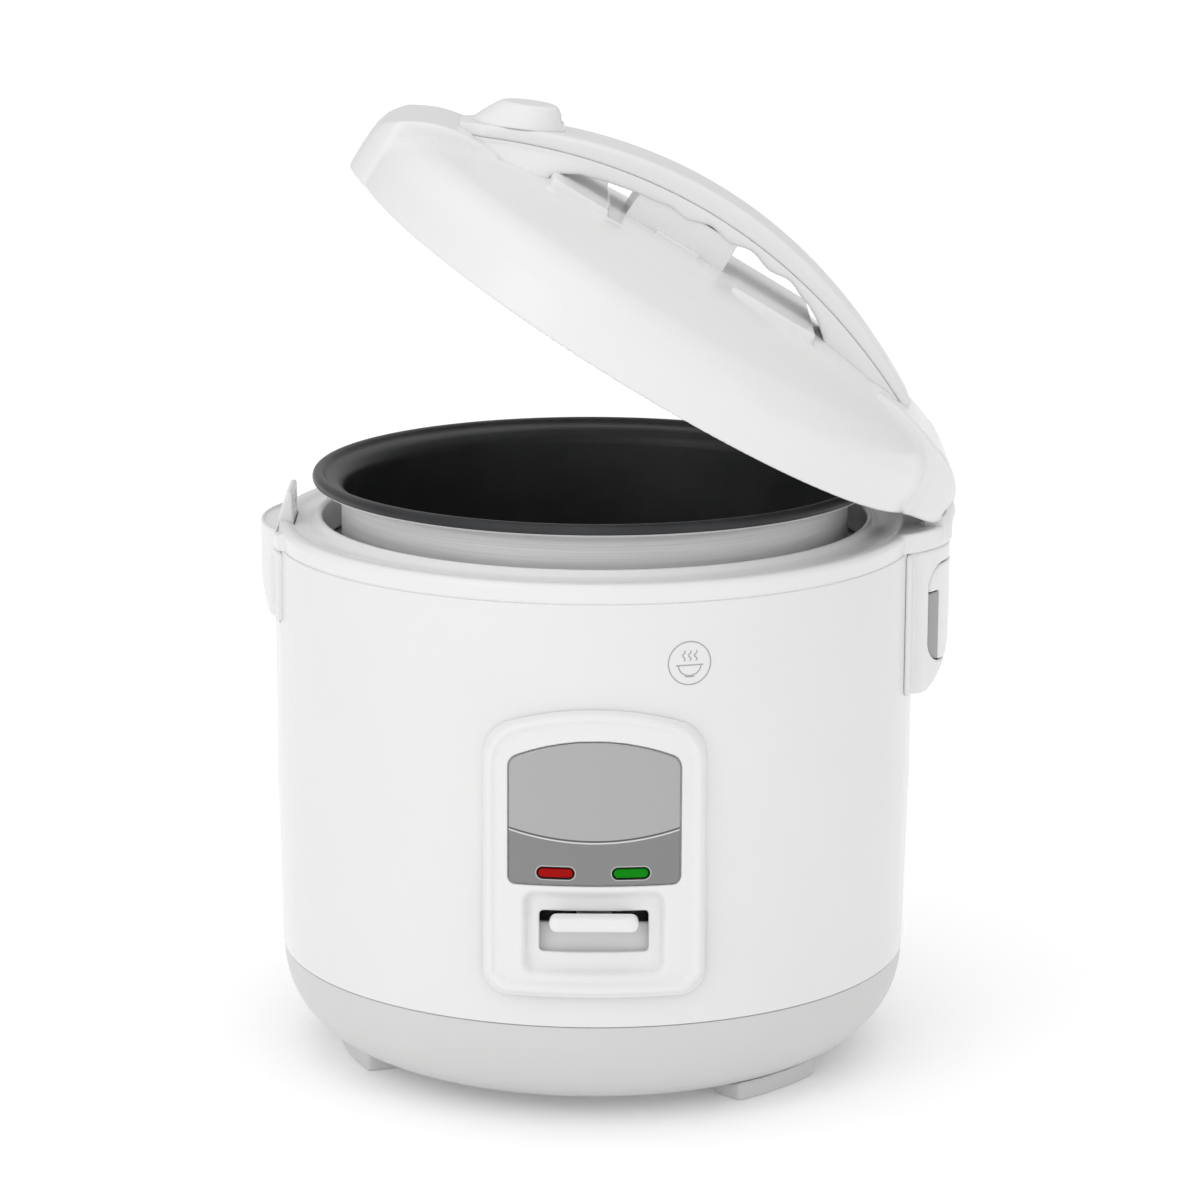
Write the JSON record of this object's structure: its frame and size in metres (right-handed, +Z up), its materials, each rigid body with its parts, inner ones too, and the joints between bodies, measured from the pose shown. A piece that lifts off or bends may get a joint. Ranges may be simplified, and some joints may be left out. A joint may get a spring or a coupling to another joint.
{
  "type": "rice cooker",
  "caption": "Round electric rice cooker with a hinged lid, arched carry handle, lift-out pot, front control panel with cook switch, side latch and rear power inlet.",
  "frame": {"origin": "centre of the footprint on the table, under the middle of the bounding box", "axes": "+X towards the lid hinge, -Y towards the user and the control panel, +Z up"},
  "size_m": [0.286, 0.2732, 0.3977],
  "materials": {
    "white_plastic": "gloss",
    "shell_paint": "gloss",
    "base_plastic": "satin",
    "liner_plastic": "satin",
    "grey_plastic": "satin",
    "smoke_plastic": "gloss",
    "red_lens": "gloss",
    "green_lens": "gloss",
    "lamp_glass": "gloss",
    "board": "matte",
    "black_plastic": "satin",
    "cream_ceramic": "matte",
    "fuse_sleeve": "matte",
    "pot_aluminium": "satin",
    "galvanised": "satin",
    "steel": "satin",
    "magnet": "matte",
    "brass": "satin",
    "silicone": "matte"
  },
  "bodies": {
    "housing": {"base_housing": "base_plastic", "foot_1": "base_plastic", "foot_screw_1": "steel", "foot_2": "base_plastic", "foot_screw_2": "steel", "foot_3": "base_plastic", "foot_screw_3": "steel", "power_inlet": "black_plastic", "inlet_pin_1": "brass", "inlet_pin_2": "brass", "inlet_pin_3": "brass", "outer_shell": "shell_paint", "top_ring": "white_plastic", "inner_well": "galvanised", "heating_plate": "pot_aluminium", "plate_post_1": "steel", "plate_post_2": "steel", "plate_post_3": "steel", "thermostat_body": "galvanised", "thermostat_spring": "steel", "keep_warm_heater": "galvanised", "thermal_fuse": "fuse_sleeve", "terminal_block": "cream_ceramic", "latch_bracket": "white_plastic", "latch_pin": "steel", "latch_spring": "steel", "hinge_housing": "white_plastic", "hinge_pin": "steel", "hinge_spring": "steel", "cook_lens": "red_lens", "cook_lamp": "lamp_glass", "ready_lens": "green_lens", "ready_lamp": "lamp_glass", "panel_bezel": "white_plastic", "display_plate": "grey_plastic", "lamp_board": "board", "switch_frame": "liner_plastic", "switch_pin": "steel", "switch_spring": "steel", "micro_switch": "black_plastic"},
    "pot": {"inner_pot": "pot_aluminium"},
    "latch": {"latch_lever": "white_plastic"},
    "cup": {"condensate_cup": "smoke_plastic"},
    "switch": {"switch_lever": "white_plastic"},
    "magnet": {"magnet_plunger": "magnet"},
    "thermostat": {"thermostat_cap": "pot_aluminium"},
    "lid": {"lid_shell": "white_plastic", "handle_grip": "white_plastic", "handle_cover": "white_plastic", "handle_post": "white_plastic", "steam_vent_tube": "liner_plastic", "lid_liner": "liner_plastic", "liner_skirt": "liner_plastic", "liner_screw_1": "steel", "liner_screw_2": "steel", "inner_lid": "pot_aluminium", "lid_gasket": "silicone", "inner_lid_stud": "silicone", "latch_keeper": "steel"},
    "vent_cap": {"steam_vent_cap": "white_plastic"}
  },
  "joints": [
    {"name": "lid_hinge", "type": "hinge", "parent": "housing", "child": "lid", "pos_m": [0.13647, 0.00465, 0.2312], "axis": [0, 1, 0], "range_deg": [-30.9, 54], "stiffness_Nm_per_rad": 0.75, "springref_deg": 47.84},
    {"name": "vent_cap_lift", "type": "slide", "parent": "lid", "child": "vent_cap", "axis": [0.1219, 0, 0.9925], "range_m": [0, 0.015]},
    {"name": "latch_press", "type": "hinge", "parent": "housing", "child": "latch", "pos_m": [-0.13103, 0.00465, 0.207], "axis": [0, 1, 0], "range_deg": [-6, 0], "stiffness_Nm_per_rad": 0.3, "springref_deg": 5.73},
    {"name": "cup_slide", "type": "slide", "parent": "housing", "child": "cup", "axis": [1, 0, 0], "range_m": [0, 0.02]},
    {"name": "cook_switch", "type": "hinge", "parent": "housing", "child": "switch", "pos_m": [-0.00503, -0.06135, 0.06], "axis": [1, 0, 0], "range_deg": [0, 6], "stiffness_Nm_per_rad": 0.3, "springref_deg": -5.73, "deforming": ["switch_spring"]},
    {"name": "magnet_lift", "type": "slide", "parent": "housing", "child": "magnet", "axis": [0, 0, 1], "range_m": [0, 0.0072]},
    {"name": "thermostat_press", "type": "slide", "parent": "housing", "child": "thermostat", "axis": [0, 0, 1], "range_m": [-0.002, 0], "stiffness_N_per_m": 400, "springref_m": 0.002, "deforming": ["thermostat_spring"]},
    {"name": "pot_turn", "type": "hinge", "parent": "housing", "child": "pot", "pos_m": [-0.00503, 0.00465, 0.094], "axis": [0, 0, 1], "continuous": true}
  ],
  "couplings": [
    {"joint": "magnet_lift", "follows": "cook_switch", "m_per_rad": 0.0672}
  ]
}
